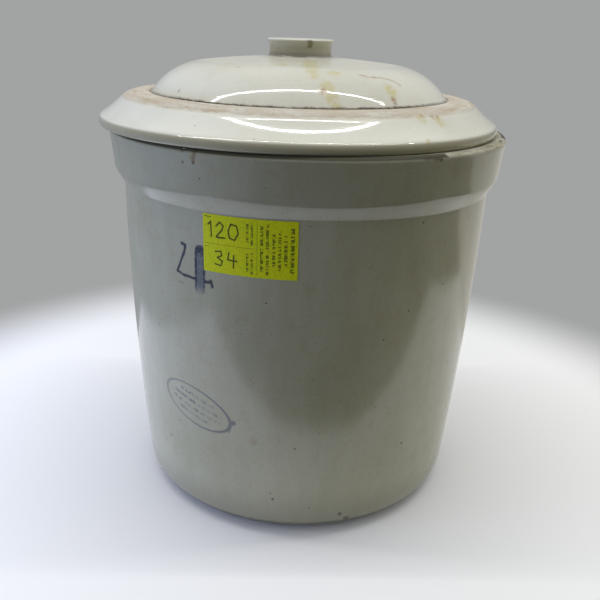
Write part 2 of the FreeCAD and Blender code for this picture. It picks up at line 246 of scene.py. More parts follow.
class Finish(Graph):
    """One surface's material, with the colour and the relief laid on it so far."""

    def __init__(self, name: str, ior: float = 1.5) -> None:
        """Start a material with a plain shader.

        Args:
            name: The material's name.
            ior: How strongly it mirrors, as its refractive index.
        """
        self.material = bpy.data.materials.new(name)
        self.material.use_nodes = True
        super().__init__(self.material.node_tree)
        self.shader = self.tree.nodes["Principled BSDF"]
        self.shader.inputs["IOR"].default_value = ior
        self.colour: object = None
        self.normal: Optional[Socket] = None

    def paint(self, hue: object, *shares: Signal) -> None:
        """Lay a hue over the colour so far, by the product of its shares."""
        self.colour = self.blend(self.product(*shares), self.colour, hue)

    def bump(self, height: Signal, depth: float) -> None:
        """Add to the relief so far, without moving the mesh.

        Args:
            height: The new relief from 0 to 1.
            depth: How many millimetres high 1 is.
        """
        node = self.add("Bump", {"Strength": 1.0, "Distance": depth * MM, "Height": height})
        if self.normal is not None:
            self.feed(node.inputs["Normal"], self.normal)
        self.normal = node.outputs[0]

    def close(self, roughness: Signal) -> Material:
        """Feed the shader and hand the material over.

        Args:
            roughness: How dull the surface is.

        Returns:
            The material.
        """
        for name, value in (("Base Color", self.colour), ("Roughness", roughness),
                            ("Normal", self.normal)):
            self.feed(self.shader.inputs[name], value)
        return self.material

    def clouds(self, scale: float, detail: float, roughness: float,
               at: object) -> bpy.types.Node:
        """Add the node that lays clouds, at the piece's own place if at is nothing."""
        return self.add("TexNoise", {"Vector": self.place if at is None else at, "Scale": scale,
                                     "Detail": detail, "Roughness": roughness})

    def noise(self, scale: float, detail: float = 3.0, roughness: float = 0.5,
              at: object = None) -> Socket:
        """Lay soft clouds through the clay.

        Args:
            scale: Clouds to the metre.
            detail: How many finer layers they have.
            roughness: How strong the finer layers are.
            at: Where to read them, or nothing for the piece's own place.

        Returns:
            A number round 0.5.
        """
        return self.clouds(scale, detail, roughness, at).outputs[0]

    def streaks(self, scales: Corner, detail: float, roughness: float) -> Socket:
        """Lay clouds with a scale of their own along each axis."""
        return self.noise(1.0, detail, roughness, self.vector("MULTIPLY", self.place, scales))

    def shake(self, sheet: Socket, reach: float, scale: float, detail: float = 2.0,
              roughness: float = 0.5, at: object = None, flat: bool = False) -> Socket:
        """Shake a sheet's places a little, so that edges drawn on it wander.

        Args:
            sheet: The places.
            reach: How far they are shaken, in the sheet's own unit.
            scale: The clouds to the metre that shake them.
            detail: How many finer layers the clouds have.
            roughness: How strong the finer layers are.
            at: Where to read the clouds, or nothing for the piece's own place.
            flat: Whether the places stay in the sheet's plane.

        Returns:
            The shaken places.
        """
        cloud = self.clouds(scale, detail, roughness, at).outputs[1]
        away = self.vector("SUBTRACT", cloud, (0.5, 0.5, 0.5))
        if flat:
            away = self.vector("MULTIPLY", away, (1.0, 1.0, 0.0))
        return self.vector("ADD", sheet, self.vector("SCALE", away, reach))

    def specks(self, scale: float, size: float, share: float) -> Socket:
        """Scatter small round specks.

        Args:
            scale: Cells to the metre, with at most one speck in each.
            size: A speck's radius as a share of a cell.
            share: The share of cells that have a speck.

        Returns:
            1 on a speck and 0 elsewhere.
        """
        cells = self.add("TexVoronoi", {"Vector": self.place, "Scale": scale}).outputs
        near = self.ease(cells["Distance"], size, size * 0.5)
        luck, _, _ = self.split(cells["Color"])
        return self.product(near, self.ease(luck, 1.0 - share, 1.0 - share + 0.02))

    def stroke(self, at: Socket, line: Sequence[Point], half: float, soft: float) -> Socket:
        """Draw a line of straight strokes with round ends.

        Args:
            at: Where to read, with X across and Y up.
            line: The points that the line runs through.
            half: Half its width.
            soft: How wide its soft edge is.

        Returns:
            1 on the line and 0 off it.
        """
        distances = []
        for start, end in zip(line, line[1:]):
            way = (end[0] - start[0], end[1] - start[1], 0.0)
            square = way[0] ** 2 + way[1] ** 2
            out = self.vector("SUBTRACT", at, (start[0], start[1], 0.0))
            along = self.calc("MULTIPLY", self.vector("DOT_PRODUCT", out, way), 1 / square, True)
            foot = self.vector("SCALE", way, along)
            distances.append(self.vector("DISTANCE", out, foot))
        return self.ease(self.chain("MINIMUM", distances), half + soft, max(half - soft, 0.0))

    def dots(self, at: Socket, places: Sequence[Corner]) -> Socket:
        """Draw soft round dots.

        Args:
            at: Where to read, with X across and Y up.
            places: Each dot's X, Y and radius.

        Returns:
            1 on a dot and 0 off it.
        """
        shares = []
        for across, up, radius in places:
            distance = self.vector("DISTANCE", at, (across, up, 0.0))
            shares.append(self.ease(distance, radius, radius * 0.3))
        return self.most(*shares)


@dataclass(frozen=True)
class BareClay:
    """Unglazed buff stoneware, as on a chip, the foot and the lid's band."""

    pale: Colour = tone(176, 172, 155)
    warm: Colour = tone(156, 151, 130)
    dark_tone: Colour = tone(106, 99, 78)

    def colour(self, finish: Finish) -> Socket:
        """Mottle the clay's colour from its grain.

        Args:
            finish: The tree to build in.

        Returns:
            The clay's colour.
        """
        broad = finish.ease(finish.noise(45.0, 4.0, 0.6), 0.35, 0.65)
        fine = finish.ease(finish.noise(420.0, 3.0, 0.7), 0.52, 0.75)
        clay = finish.blend(broad, self.pale, self.warm)
        clay = finish.blend(finish.product(fine, 0.55), clay, self.dark_tone)
        return finish.blend(finish.specks(300.0, 0.3, 0.2), clay, self.dark_tone)

    def grain(self, finish: Finish) -> Socket:
        """Give the clay's sandy relief, from 0 to 1."""
        return finish.noise(700.0, 4.0, 0.75)

    def make(self) -> Material:
        """Build the material of a broken face.

        Returns:
            The material.
        """
        finish = Finish("bare_clay", 1.45)
        finish.bump(finish.noise(160.0, 3.0, 0.6), 1.2)
        finish.bump(self.grain(finish), 0.35)
        finish.colour = self.colour(finish)
        return finish.close(finish.range(finish.noise(90.0), 0.78, 0.95))


@dataclass(frozen=True)
class Line:
    """A brushed line: the spots it runs through, half its width and its soft edge."""

    spots: Points
    half: float
    soft: float


@dataclass(frozen=True)
class Glaze:
    """A glossy glaze with marks at spots on a flat sheet."""

    ior: float = 1.62

    def spot(self, across: float, up: float) -> Point:
        """Find a spot on the sheet, in metres, from its millimetres."""
        return (across * MM, up * MM)

    def dots(self, finish: Finish, sheet: Socket, places: Sequence[Corner]) -> Socket:
        """Draw dots at spots, each with its radius in millimetres."""
        return finish.dots(sheet, [(*self.spot(a, b), size * MM) for a, b, size in places])

    def brush(self, finish: Finish, sheet: Socket, line: Line) -> Socket:
        """Draw a line through spots, with its widths in millimetres."""
        return finish.stroke(sheet, [self.spot(*spot) for spot in line.spots],
                             line.half * MM, line.soft * MM)


@dataclass(frozen=True)
class CrockGlaze(Glaze):
    """The crock's glossy pale grey glaze, its painted marks and its wear.

    A spot is an angle in degrees and a height in millimetres. An edge is where
    something starts and where it is full, in millimetres.
    """

    mark_radius: float = 145.5 * MM
    flare: float = 0.055
    outside: Point = (125.5, 126.5)
    pale: Colour = tone(157, 156, 137)
    deep: Colour = tone(136, 135, 111)
    ochre: Colour = tone(134, 120, 84)
    iron: Colour = tone(66, 54, 36)
    ink: Colour = tone(34, 38, 56)
    faded_ink: Colour = tone(80, 85, 104)
    stamp_ink: Colour = tone(74, 79, 88)
    yellow: Colour = tone(142, 134, 72)
    rust: Colour = tone(112, 84, 50)
    dark_tone: Colour = tone(54, 51, 39)
    grime_and_shade: Colour = tone(40, 37, 12)
    olive: Colour = tone(106, 106, 88)
    clay: BareClay = field(default_factory=BareClay)
    figure_hook: Line = Line(((-34.3, 229.6), (-33.0, 229.0), (-33.5, 224.0),
                              (-36.4, 208.8), (-33.6, 206.8), (-29.7, 206.4)), 1.0, 0.4)
    figure_stem: Line = Line(((-28.1, 226.5), (-28.5, 199.5)), 4.3, 0.5)
    figure_core: Line = Line(((-28.1, 226.5), (-28.5, 199.5)), 2.6, 0.7)
    figure_bar: Line = Line(((-26.6, 206.0), (-24.8, 205.6)), 1.2, 0.4)
    figure_serif: Line = Line(((-24.9, 207.2), (-24.4, 203.0)), 1.1, 0.5)
    figure_dash: Line = Line(((-36.0, 201.2), (-34.4, 200.8)), 0.5, 0.4)
    figure_tip: Point = (219.0, 228.0)
    figure_foot: Point = (193.0, 206.0)
    figure_wash: Point = (194.0, 204.0)
    stamp_spot: Point = (-32.6, 103.4)
    stamp_tilt: float = -14.8
    stamp_size: Point = (32.4, 15.5)
    stamp_fresh: Point = (-24.0, 20.0)
    stamp_rows: Points = ((8.2, 17.0), (2.6, 25.0), (-2.9, 24.0), (-8.2, 15.0))
    stamp_row_half: float = 1.25
    stamp_smudge: Corners = ((-19.2, 98.4, 3.4),)
    stamp_tick: Line = Line(((-20.2, 91.6), (-20.8, 89.0)), 0.6, 0.4)
    drip: Line = Line(((-26.4, 296.0), (-26.6, 292.0), (-27.0, 288.4)), 1.2, 0.8)
    nick: Line = Line(((29.0, 294.8), (31.5, 294.4), (33.8, 293.4)), 1.2, 0.8)
    rubbed: Line = Line(((36.5, 295.6), (50.0, 295.0), (74.0, 294.4)), 1.9, 0.5)
    film: Corners = ((-27.6, 290.6, 1.9),)
    holes: Corners = (
        (-30.1, 286.9, 1.2), (-25.5, 277.5, 0.9), (-27.0, 287.2, 1.4), (-29.9, 295.2, 2.8),
    )
    blotch: Corners = ((-12.8, 85.9, 5.5),)
    dark_specks: Corners = (
        (-16.0, 172.0, 0.7), (24.0, 168.0, 1.0), (21.0, 162.0, 0.7), (7.5, 165.0, 0.5),
        (31.5, 187.0, 1.0), (44.5, 201.0, 1.3), (-9.0, 197.0, 0.8), (36.0, 74.0, 1.6),
        (-6.8, 34.5, 1.7), (15.6, 19.0, 2.6), (18.2, 12.8, 3.6), (-46.0, 64.0, 1.4),
        (-40.0, 84.0, 1.1), (55.0, 130.0, 0.9), (-55.0, 150.0, 0.8), (3.0, 120.0, 0.5),
        (18.0, 98.0, 0.6), (35.0, 222.0, 0.8), (14.0, 208.0, 0.6),
    )
    darkened_base: Point = (13.5, 8.0)
    foot_shade: Point = (46.0, 8.0)
    rim_shade: Point = (258.0, 266.0)
    foot_bare: Point = (1.6, 0.6)
    rim_top: Point = (295.7, 295.88)
    rim_inward: Point = (151.2, 150.2)
    worn_up: Point = (293.2, 294.6)
    worn_out: Point = (150.6, 151.6)

    def spot(self, angle: float, height: float) -> Point:
        """Find a spot on the unrolled wall, in metres."""
        return (math.radians(angle) * self.mark_radius, height * MM)

    def unroll(self, finish: Finish) -> tuple[Socket, Socket, Socket]:
        """Unroll the wall into a flat sheet.

        Args:
            finish: The tree to build in.

        Returns:
            The place on the sheet, the distance from the axis, and the height.
        """
        across, deep, height = finish.split(finish.place)
        turn = finish.calc("ARCTAN2", across, finish.product(deep, -1.0))
        along = finish.product(turn, self.mark_radius)
        radius = finish.vector("LENGTH", finish.join(across, deep))
        return finish.join(along, height), radius, height

    def numeral(self, finish: Finish, sheet: Socket) -> tuple[Socket, Socket]:
        """Brush the capacity figure, a plain 4.

        Args:
            finish: The tree to build in.
            sheet: Where to read the unrolled wall.

        Returns:
            The share of dark ink and the share of faded ink.
        """
        brushed = finish.shake(sheet, 1.6 * MM, 260.0)
        patchy = finish.noise(420.0, 3.0, 0.7)
        _, height, _ = finish.split(sheet)
        thin = finish.product(self.brush(finish, brushed, self.figure_hook),
                              finish.ease(patchy, 0.26, 0.42))
        broad = self.brush(finish, brushed, self.figure_stem)
        core = self.brush(finish, brushed, self.figure_core)
        edge = finish.calc("SUBTRACT", broad, finish.product(core, 0.75), True)
        edge = finish.most(edge, finish.product(broad, finish.step(height, self.figure_tip)))
        edge = finish.product(edge, finish.ease(patchy, 0.30, 0.5),
                              finish.step(height, self.figure_foot))
        dark = finish.most(thin, edge, self.brush(finish, brushed, self.figure_bar),
                           self.brush(finish, brushed, self.figure_serif),
                           finish.product(self.brush(finish, brushed, self.figure_dash), 0.5))
        inside = finish.product(broad, finish.step(height, self.figure_wash))
        return dark, finish.product(inside, finish.range(patchy, 0.6, 1.1))

    def oval(self, finish: Finish, sheet: Socket) -> Socket:
        """Stamp a worn oval with broken dashes in it, which say nothing.

        Args:
            finish: The tree to build in.
            sheet: Where to read the unrolled wall.

        Returns:
            The share of ink.
        """
        out = finish.vector("SUBTRACT", sheet, (*self.spot(*self.stamp_spot), 0.0))
        tilt = math.radians(self.stamp_tilt)
        along = finish.vector("DOT_PRODUCT", out, (math.cos(tilt), math.sin(tilt), 0.0))
        up = finish.vector("DOT_PRODUCT", out, (-math.sin(tilt), math.cos(tilt), 0.0))
        wide, high = self.stamp_size
        ring = finish.vector("LENGTH", finish.join(finish.calc("DIVIDE", along, wide * MM),
                                                   finish.calc("DIVIDE", up, high * MM)))
        away = finish.calc("ABSOLUTE", finish.calc("SUBTRACT", ring, 1.0))
        worn = finish.noise(70.0, 3.0, 0.6)
        line = finish.product(
            finish.ease(away, 0.06, 0.03),
            finish.range(finish.step(along, self.stamp_fresh), 0.65, 1.0),
            finish.ease(worn, 0.22, 0.42))
        letters = finish.noise(430.0, 2.0, 0.6, finish.join(along, finish.product(up, 0.35)))
        half = self.stamp_row_half
        rows = [finish.product(finish.within(up, (middle - half, middle + half, 0.3)),
                               finish.within(along, (-reach, reach, 1.0)))
                for middle, reach in self.stamp_rows]
        dashes = finish.product(finish.most(*rows), finish.ease(letters, 0.42, 0.56),
                                finish.range(finish.ease(worn, 0.42, 0.6), 0.5, 1.0))
        smudge = self.dots(finish, finish.shake(sheet, 2.0 * MM, 300.0), self.stamp_smudge)
        tick = self.brush(finish, sheet, self.stamp_tick)
        return finish.most(line, finish.product(dashes, 0.9), smudge, finish.product(tick, 0.6))

    def make(self) -> Material:
        """Build the glaze with everything on it.

        Returns:
            The material.
        """
        finish = Finish(Slot.CROCK.value, self.ior)
        sheet, radius, height = self.unroll(finish)
        upright = finish.calc("SUBTRACT", radius, finish.product(height, self.flare))
        outside = finish.step(upright, self.outside)

        fine = finish.noise(650.0, 2.0, 0.6)
        cloud = finish.total(
            finish.range(finish.noise(11.0, 3.0, 0.55), 0.0, 0.62),
            finish.range(finish.streaks((70.0, 70.0, 14.0), 4.0, 0.6), 0.0, 0.3),
            finish.range(fine, -0.12, 0.2))
        finish.colour = finish.blend(finish.ease(cloud, 0.25, 0.85), self.pale, self.deep)
        finish.paint(self.ochre, finish.ease(finish.noise(95.0, 4.0, 0.7), 0.5, 0.72), 0.22)
        pinholes = finish.specks(170.0, 0.1, 0.36)
        finish.paint(self.iron, pinholes, 0.5)
        finish.paint(self.iron, finish.specks(60.0, 0.055, 0.4), 0.85)

        ragged = finish.shake(sheet, 1.6 * MM, 500.0)
        spread = finish.shake(sheet, 8.0 * MM, 200.0)
        dark, faded = self.numeral(finish, sheet)
        for hue, marks, strength in (
            (self.faded_ink, faded, 0.85),
            (self.ink, dark, 0.93),
            (self.stamp_ink, self.oval(finish, sheet), 0.8),
            (self.yellow, self.dots(finish, ragged, self.film), 0.7),
            (self.rust, self.brush(finish, ragged, self.drip), 0.75),
            (self.iron, self.dots(finish, ragged, self.holes), 0.9),
            (self.rust, self.dots(finish, spread, self.blotch), 0.28),
        ):
            finish.paint(hue, marks, outside, strength)

        wander = finish.range(finish.noise(220.0, 4.0, 0.7), -2.0 * MM, 2.0 * MM)
        low = finish.total(height, wander)
        marks = finish.product(self.dots(finish, ragged, self.dark_specks), outside)
        # The rim's top outer edge under the lid's edge: its glaze is dulled, and painted shade
        # darkens it.
        worn = finish.product(finish.step(height, self.worn_up),
                              finish.step(radius, self.worn_out))
        finish.paint(self.olive, finish.most(
            finish.product(finish.step(low, self.foot_shade), 0.58),
            finish.product(finish.step(height, self.rim_shade), 0.24)))
        # The wall darkens in a band along its bottom edge.
        finish.paint(self.dark_tone, finish.step(low, self.darkened_base), 0.88)
        finish.paint(self.iron, marks, 0.88)
        # Painted shade on the rim's top outer edge, under the lid.
        finish.paint(self.grime_and_shade, worn, 0.86)
        finish.paint(self.iron, self.brush(finish, ragged, self.nick), outside, 0.8)
        bare = finish.most(
            finish.step(low, self.foot_bare),
            finish.product(finish.step(height, self.rim_top),
                           finish.step(radius, self.rim_inward)),
            finish.product(self.brush(finish, ragged, self.rubbed), outside, 0.9))
        finish.paint(self.clay.colour(finish), bare)

        finish.bump(finish.noise(260.0, 2.0, 0.5), 0.035)
        finish.bump(finish.streaks((6.0, 6.0, 420.0), 2.0, 0.5), 0.018)
        finish.bump(finish.flip(finish.most(pinholes, marks)), 0.12)
        finish.bump(finish.product(self.clay.grain(finish), bare), 0.3)
        dull = finish.product(finish.most(bare, worn), 0.7)
        return finish.close(finish.calc("ADD", finish.range(fine, 0.12, 0.2), dull, True))


@dataclass(frozen=True)
class LidGlaze(Glaze):
    """The lid's warm white glaze, its stains and its unglazed band.

    A spot is across and deep from the lid's axis. An edge is where something
    starts and where it is full, and a belt is two edges and their softness.
    All of them are in millimetres.
    """

    axis: float = -6.5 * MM
    pale: Colour = tone(219, 218, 206)
    deep: Colour = tone(201, 199, 182)
    painted_light: Colour = tone(239, 238, 225)
    olive: Colour = tone(128, 122, 88)
    straw: Colour = tone(201, 192, 140)
    rust: Colour = tone(154, 124, 76)
    soot: Colour = tone(82, 72, 54)
    shadow: Colour = tone(130, 121, 115)
    trickle: Colour = tone(100, 91, 48)
    streak: Colour = tone(172, 154, 128)
    clay: BareClay = field(default_factory=lambda: BareClay(
        tone(203, 198, 187), tone(192, 182, 166), tone(160, 144, 122)))
    painted_light_front: Point = (-98.0, -130.0)
    painted_light_belt: Corner = (135.0, 151.0, 2.0)
    over_band: Point = (315.5, 316.5)
    over_crown: Point = (347.0, 347.7)
    knob_inward: Point = (29.6, 27.6)
    neck_down: Point = (359.6, 358.2)
    root_down: Point = (352.0, 348.4)
    trickle_belt: Corner = (354.2, 359.6, 0.8)
    lip_out: Point = (150.8, 152.4)
    lip_down: Point = (304.0, 302.0)
    band_inward: Point = (135.1, 134.5)
    band_out: Point = (114.4, 115.2)
    seep_belt: Corner = (133.5, 137.0, 1.0)
    groove_belt: Corner = (113.4, 116.0, 0.5)
    groove_down: Point = (322.1, 321.1)
    groove_sides: Point = (66.0, 108.0)
    crown_worn: Point = (86.0, 70.0)
    straw_marks: Corners = (
        (7.8, -42.0, 8.0), (7.2, -54.0, 9.0), (7.8, -66.0, 9.0), (8.6, -76.0, 8.0),
        (9.6, -84.0, 7.0), (10.6, -91.0, 5.5), (19.0, -100.0, 7.0), (22.0, -105.5, 6.5),
        (25.0, -110.0, 5.5), (83.6, -126.7, 2.4), (62.0, -84.0, 7.0), (24.0, -84.0, 6.0),
        (-12.0, -66.0, 7.0), (-41.5, -72.1, 3.0), (79.4, -109.4, 6.0), (93.1, -102.8, 6.0),
        (30.0, 70.0, 8.0), (-58.0, 52.0, 6.0),
    )
    rust_marks: Corners = (
        (16.0, -103.4, 4.4), (64.3, -90.0, 3.4), (-20.0, 84.0, 4.0), (80.4, -107.4, 2.2),
        (88.0, -103.4, 2.4), (92.4, -101.0, 2.0),
    )
    pits: Corners = (
        (-82.0, -73.6, 1.5), (0.0, -56.4, 1.8), (15.0, -47.0, 1.6), (34.0, -28.6, 1.3),
        (-41.5, -72.1, 1.2), (65.0, -91.0, 1.6),
    )
    scratch: Line = Line(((41.3, -79.6), (47.5, -79.5), (58.2, -74.1), (63.9, -72.8),
                          (69.5, -73.2)), 1.0, 0.9)
    trickled: Line = Line(((6.0, -26.8), (7.4, -23.0)), 1.5, 1.0)

    def make(self) -> Material:
        """Build the glaze with everything on it.

        Returns:
            The material.
        """
        finish = Finish(Slot.LID.value, self.ior)
        centred = finish.vector("SUBTRACT", finish.place, (self.axis, 0.0, 0.0))
        across, deep, height = finish.split(centred)
        flat = finish.join(across, deep)
        radius = finish.vector("LENGTH", flat)

        fine = finish.noise(600.0, 2.0, 0.6)
        cloud = finish.total(finish.range(finish.noise(14.0, 4.0, 0.6), 0.0, 0.85),
                             finish.range(fine, -0.1, 0.2))
        finish.colour = finish.blend(finish.ease(cloud, 0.25, 0.8), self.pale, self.deep)
        # Painted light: the front of the shoulder is lightened where the light falls on it.
        finish.paint(self.painted_light, finish.step(deep, self.painted_light_front),
                     finish.within(radius, self.painted_light_belt), 0.55)
        pinholes = finish.specks(130.0, 0.09, 0.22)
        finish.paint(self.soot, pinholes, 0.45)
        finish.paint(self.rust, finish.specks(45.0, 0.04, 0.25), 0.7)

        shaken = finish.shake(flat, 5.0 * MM, 300.0, 4.0, 0.65, flat=True)
        faint = finish.noise(330.0, 4.0, 0.75)
        blotchy = finish.range(finish.ease(faint, 0.32, 0.62), 0.25, 1.0)
        stains = []
        for places, hue, strength in ((self.straw_marks, self.straw, 0.9),
                                      (self.rust_marks, self.rust, 0.95),
                                      (self.pits, self.soot, 0.8)):
            stains.append(finish.product(self.dots(finish, shaken, places), blotchy, strength))
            finish.paint(hue, stains[-1])
        finish.paint(self.rust, self.brush(finish, shaken, self.scratch), blotchy, 0.7)

        stem = finish.product(finish.step(height, self.over_crown),
                              finish.step(radius, self.knob_inward))
        # The knob's olive stops below its top edge, which stays pale as a painted highlight.
        knob = finish.product(stem, finish.step(height, self.neck_down), 0.62)
        finish.paint(self.olive, knob)
        finish.paint(self.shadow, stem, finish.step(height, self.root_down), 0.65)
        finish.paint(self.trickle, self.brush(finish, shaken, self.trickled),
                     finish.within(height, self.trickle_belt), 0.85)
        finish.paint(self.rust, knob, finish.ease(faint, 0.56, 0.7), 0.8)
        # An olive tint and painted shade darken the side of the lip.
        finish.paint(self.olive, finish.step(radius, self.lip_out),
                     finish.step(height, self.lip_down), 0.8)

        above = finish.step(height, self.over_band)
        ragged = finish.noise(120.0, 4.0, 0.65)
        edge = finish.total(radius, finish.range(ragged, -5.0 * MM, 5.0 * MM))
        band = finish.product(finish.step(edge, self.band_inward),
                              finish.step(radius, self.band_out), above)
        sweep = finish.noise(1.0, 4.0, 0.65, finish.join(
            finish.product(across, 26.0), finish.product(deep, 26.0),
            finish.product(radius, 240.0)))
        clay = finish.blend(finish.product(finish.ease(sweep, 0.46, 0.68), 0.75),
                            self.clay.colour(finish), self.streak)
        finish.paint(clay, band)
        finish.paint(self.streak, finish.within(edge, self.seep_belt), above, 0.3)

        # Grime and painted shade darken the groove at the dome's foot, less towards the sides.
        crumbs = finish.range(finish.noise(260.0, 3.0, 0.7), -1.0 * MM, 1.0 * MM)
        sides = finish.step(finish.calc("ABSOLUTE", across), self.groove_sides)
        grime_and_shade = finish.product(
            finish.within(finish.total(radius, crumbs), self.groove_belt), above,
            finish.step(height, self.groove_down), finish.range(sides, 1.0, 0.5),
            finish.range(finish.ease(ragged, 0.3, 0.5), 0.65, 0.95))
        finish.paint(self.soot, grime_and_shade)

        finish.bump(finish.noise(150.0, 2.0, 0.5), 0.03)
        finish.bump(finish.flip(pinholes), 0.1)
        finish.bump(finish.flip(band), 0.35)
        finish.bump(finish.product(self.clay.grain(finish), band), 0.3)
        worn = finish.product(finish.step(radius, self.crown_worn), 0.16)
        crusts = finish.product(finish.most(*stains[1:]), 0.5)
        gloss = finish.total(finish.range(fine, 0.04, 0.09), finish.total(worn, crusts))
        dull = finish.product(finish.most(band, finish.product(grime_and_shade, 0.8)), 0.72)
        return finish.close(finish.calc("ADD", gloss, dull, True))


@dataclass(frozen=True)
class LabelPaper:
    """Bright yellow paper with ruled cells and greeked print, but no words.

    Its sheet is in millimetres from the lower left corner. A rule is its left,
    right and softness, then its bottom, top and softness. A column of bars is
    its left, right, bottom and top, then its bars to the millimetre.
    """

    width: float = 64.8
    height: float = 39.4
    ior: float = 1.4
    paper: Colour = tone(195, 201, 0)
    shaded: Colour = tone(176, 183, 0)
    print_ink: Colour = tone(52, 60, 8)
    pen: Colour = tone(26, 32, 14)
    rules: tuple[tuple[float, ...], ...] = (
        (0.5, 36.5, 0.2, 19.5, 19.8, 0.08), (38.2, 38.5, 0.08, 1.5, 37.5, 0.2),
        (1.0, 6.5, 0.2, 37.4, 38.0, 0.1), (1.0, 4.5, 0.2, 17.2, 17.6, 0.1),
    )
    columns: tuple[tuple[float, ...], ...] = (
        (31.0, 32.6, 23.0, 36.0, 1.3), (34.0, 35.6, 21.5, 36.5, 1.3),
        (31.0, 32.6, 3.0, 16.5, 1.3), (34.0, 35.6, 2.0, 17.0, 1.3),
        (40.4, 42.4, 4.0, 35.5, 1.0), (44.2, 46.2, 2.5, 37.0, 1.0),
        (48.4, 50.4, 8.5, 31.0, 1.0), (52.2, 54.2, 6.0, 33.5, 1.0),
        (56.0, 58.2, 9.0, 30.0, 0.9), (60.0, 62.6, 4.5, 35.0, 0.8),
    )
    pen_half: float = 0.55
    pen_soft: float = 0.22
    pen_lines: tuple[Points, ...] = (
        ((4.0, 32.5), (6.0, 34.5), (6.2, 24.5)),
        ((10.0, 32.0), (12.5, 34.8), (15.0, 32.5), (14.0, 29.5), (9.8, 24.6), (16.0, 24.4)),
        ((20.5, 34.5), (18.5, 30.0), (19.5, 25.0), (23.0, 24.0), (25.5, 28.5), (24.5, 33.5),
         (20.5, 34.5)),
        ((9.0, 14.5), (13.0, 15.2), (13.6, 12.2), (10.5, 10.5), (14.2, 8.5), (13.0, 5.4),
         (8.8, 5.8)),
        ((19.0, 15.0), (18.0, 10.0), (24.5, 9.6)),
        ((22.4, 13.6), (22.0, 4.8)),
    )

    def printed(self, finish: Finish, sheet: Socket) -> Socket:
        """Print the rules and the columns of broken bars.

        Args:
            finish: The tree to build in.
            sheet: The place on the label, in millimetres.

        Returns:
            1 on the print and 0 off it.
        """
        across, up, _ = finish.split(sheet)
        inked = [finish.product(finish.between(up, *rule[3:]),
                                finish.between(across, *rule[:3])) for rule in self.rules]
        for left, right, bottom, top, pitch in self.columns:
            letters = finish.noise(pitch, 1.0, 0.5, finish.join(
                finish.product(across, 0.35), up, left))
            inside = finish.product(finish.between(across, left, right, 0.1),
                                    finish.between(up, bottom, top, 0.1))
            inked.append(finish.product(inside, finish.ease(letters, 0.44, 0.52)))
        return finish.most(*inked)

    def make(self) -> Material:
        """Build the paper with its rules, bars and pen strokes.

        Returns:
            The material.
        """
        finish = Finish(Slot.LABEL.value, self.ior)
        sheet = finish.vector("MULTIPLY", finish.coordinates["UV"],
                              (self.width, self.height, 1.0))
        fibre = finish.streaks((900.0, 900.0, 500.0), 4.0, 0.6)
        finish.colour = finish.blend(finish.ease(fibre, 0.35, 0.7), self.paper, self.shaded)
        finish.paint(self.print_ink, self.printed(finish, sheet), 0.8)
        held = finish.shake(sheet, 0.8, 1.0, at=finish.vector("SCALE", sheet, 0.35))
        strokes = [finish.stroke(held, line, self.pen_half, self.pen_soft)
                   for line in self.pen_lines]
        finish.paint(self.pen, finish.most(*strokes), 0.93)
        finish.bump(fibre, 0.02)
        return finish.close(finish.range(fibre, 0.5, 0.68))


def select(piece: Optional[Piece] = None) -> None:
    """Select one piece alone, or nothing, so that an operator acts on it alone.

    Args:
        piece: The piece, or nothing.
    """
    if bpy.context.object is not None and bpy.context.object.mode != "OBJECT":
        bpy.ops.object.mode_set(mode="OBJECT")
    bpy.ops.object.select_all(action="DESELECT")
    if piece is not None:
        piece.select_set(True)
        bpy.context.view_layer.objects.active = piece


@contextmanager
def editing() -> Iterator[None]:
    """Work on the new piece's mesh, with all of it selected.

    Yields:
        Nothing.
    """
    bpy.ops.object.mode_set(mode="EDIT")
    bpy.ops.mesh.select_all(action="SELECT")
    yield
    bpy.ops.object.mode_set(mode="OBJECT")


def modify(piece: Piece, kind: str, **settings: object) -> None:
    """Give a piece a modifier and make its result the piece's own mesh.

    Args:
        piece: The piece.
        kind: Which modifier.
        settings: What it does.
    """
    modifier = piece.modifiers.new(kind.lower(), kind)
    for name, value in settings.items():
        setattr(modifier, name, value)
    select(piece)
    bpy.ops.object.modifier_apply(modifier=modifier.name)


def push(piece: Piece, weigh: Callable[[Vector], float], **settings: object) -> None:
    """Displace a piece's surface by as much as each of its places allows.

    Args:
        piece: The piece.
        weigh: Gives the share, up to 1, that a place is displaced by.
        settings: What the displacement does.
    """
    group = piece.vertex_groups.new(name="pushed")
    for vertex in piece.data.vertices:
        share = weigh(vertex.co)
        if share > 0:
            group.add([vertex.index], share, "REPLACE")
    modify(piece, "DISPLACE", vertex_group=group.name, **settings)
    piece.vertex_groups.clear()


def lumps(name: str, scale: float, depth: int) -> bpy.types.Texture:
    """Make the soft clouds that a surface is displaced by.

    Args:
        name: Their name.
        scale: How broad one is.
        depth: How many finer layers they have.

    Returns:
        The texture.
    """
    texture = bpy.data.textures.new(name, "CLOUDS")
    texture.noise_scale = scale
    texture.noise_depth = depth
    return texture


def smooth(piece: Piece, degrees: float) -> None:
    """Shade a piece smoothly, except across edges sharper than an angle."""
    select(piece)
    bpy.ops.object.shade_smooth_by_angle(angle=math.radians(degrees))


